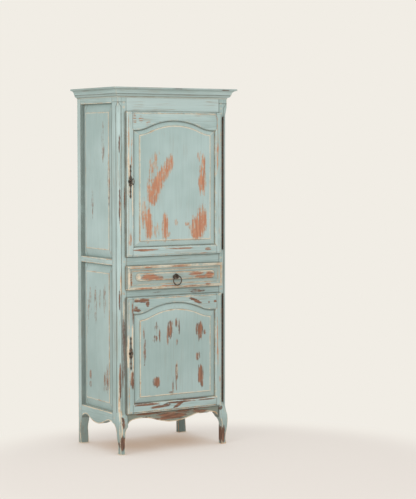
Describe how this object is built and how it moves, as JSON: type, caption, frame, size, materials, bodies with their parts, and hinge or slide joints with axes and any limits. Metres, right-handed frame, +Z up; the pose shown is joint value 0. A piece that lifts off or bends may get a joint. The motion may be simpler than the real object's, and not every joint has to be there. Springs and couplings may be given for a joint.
{
  "type": "bonnetiere cabinet",
  "caption": "Tall narrow painted cupboard with an arched fielded door above a drawer, an arched door below it, a moulded cornice and short curved feet.",
  "frame": {"origin": "on the floor, under the middle of the whole cupboard's box with its key and ring pull", "axes": "+Z up, -Y out of the front with the doors and the drawer, +X to the right as seen from the front"},
  "size_m": [0.747, 0.502, 1.9],
  "materials": {
    "painted_wood": "worn duck-egg paint with ochre and bare wood at the edges",
    "bare_wood": "waxed brown softwood",
    "dark_iron": "dark, lightly rusted",
    "lock_iron": "dull grey"
  },
  "bodies": {
    "case": {"front_left_post": "painted_wood", "front_right_post": "painted_wood", "rear_left_post": "painted_wood", "rear_right_post": "painted_wood", "frieze_rail": "painted_wood", "upper_mid_rail": "painted_wood", "lower_mid_rail": "painted_wood", "front_apron": "painted_wood", "left_top_rail": "painted_wood", "left_mid_rail": "painted_wood", "left_apron": "painted_wood", "left_upper_panel": "painted_wood", "left_lower_panel": "painted_wood", "right_top_rail": "painted_wood", "right_mid_rail": "painted_wood", "right_apron": "painted_wood", "right_upper_panel": "painted_wood", "right_lower_panel": "painted_wood", "back_top_rail": "bare_wood", "back_bottom_rail": "bare_wood", "back_boards": "bare_wood", "cornice_front": "painted_wood", "cornice_left": "painted_wood", "cornice_right": "painted_wood", "top_board": "painted_wood", "bottom_board": "bare_wood", "upper_floor": "bare_wood", "drawer_runners": "bare_wood", "drawer_kickers": "bare_wood", "shelves": "bare_wood", "shelf_cleats": "bare_wood", "upper_frame_hinge": "dark_iron", "lower_frame_hinge": "dark_iron", "joint_pegs": "bare_wood"},
    "upper_door": {"upper_lock_stile": "painted_wood", "upper_hinge_stile": "painted_wood", "upper_door_top_rail": "painted_wood", "upper_door_bottom_rail": "painted_wood", "upper_door_panel": "painted_wood", "upper_door_knuckle": "dark_iron", "upper_escutcheon": "dark_iron", "upper_lock_case": "lock_iron"},
    "lower_door": {"lower_lock_stile": "painted_wood", "lower_hinge_stile": "painted_wood", "lower_door_top_rail": "painted_wood", "lower_door_bottom_rail": "painted_wood", "lower_door_panel": "painted_wood", "lower_door_knuckle": "dark_iron", "lower_escutcheon": "dark_iron", "lower_lock_case": "lock_iron"},
    "drawer": {"drawer_front": "painted_wood", "drawer_left_side": "bare_wood", "drawer_right_side": "bare_wood", "drawer_back": "bare_wood", "drawer_bottom": "bare_wood", "pull_boss": "dark_iron"},
    "ring": {"pull_ring": "dark_iron"},
    "upper_lock_bolt": {"upper_bolt": "lock_iron"},
    "lower_lock_bolt": {"lower_bolt": "lock_iron"},
    "key": {"upper_key": "dark_iron"}
  },
  "joints": [
    {"name": "upper_door_swing", "type": "hinge", "parent": "case", "child": "upper_door", "pos_m": [0.303, -0.1975, 1.4], "axis": [0, 0, 1], "range_deg": [0, 150]},
    {"name": "lower_door_swing", "type": "hinge", "parent": "case", "child": "lower_door", "pos_m": [0.303, -0.1975, 0.5], "axis": [0, 0, 1], "range_deg": [0, 150]},
    {"name": "drawer_slide", "type": "slide", "parent": "case", "child": "drawer", "axis": [0, -1, 0], "range_m": [0, 0.28]},
    {"name": "ring_swing", "type": "hinge", "parent": "drawer", "child": "ring", "pos_m": [0, -0.23, 0.92175], "axis": [-1, 0, 0], "range_deg": [-10, 165]},
    {"name": "upper_key_turn", "type": "hinge", "parent": "upper_door", "child": "key", "pos_m": [-0.271, -0.2, 1.4165], "axis": [0, -1, 0], "range_deg": [0, 360]},
    {"name": "upper_bolt_slide", "type": "slide", "parent": "upper_door", "child": "upper_lock_bolt", "axis": [-1, 0, 0], "range_m": [0, 0.009]},
    {"name": "lower_bolt_slide", "type": "slide", "parent": "lower_door", "child": "lower_lock_bolt", "axis": [-1, 0, 0], "range_m": [0, 0.009]}
  ],
  "couplings": [
    {"joint": "upper_bolt_slide", "follows": "upper_key_turn", "m_per_rad": 0.001432}
  ]
}
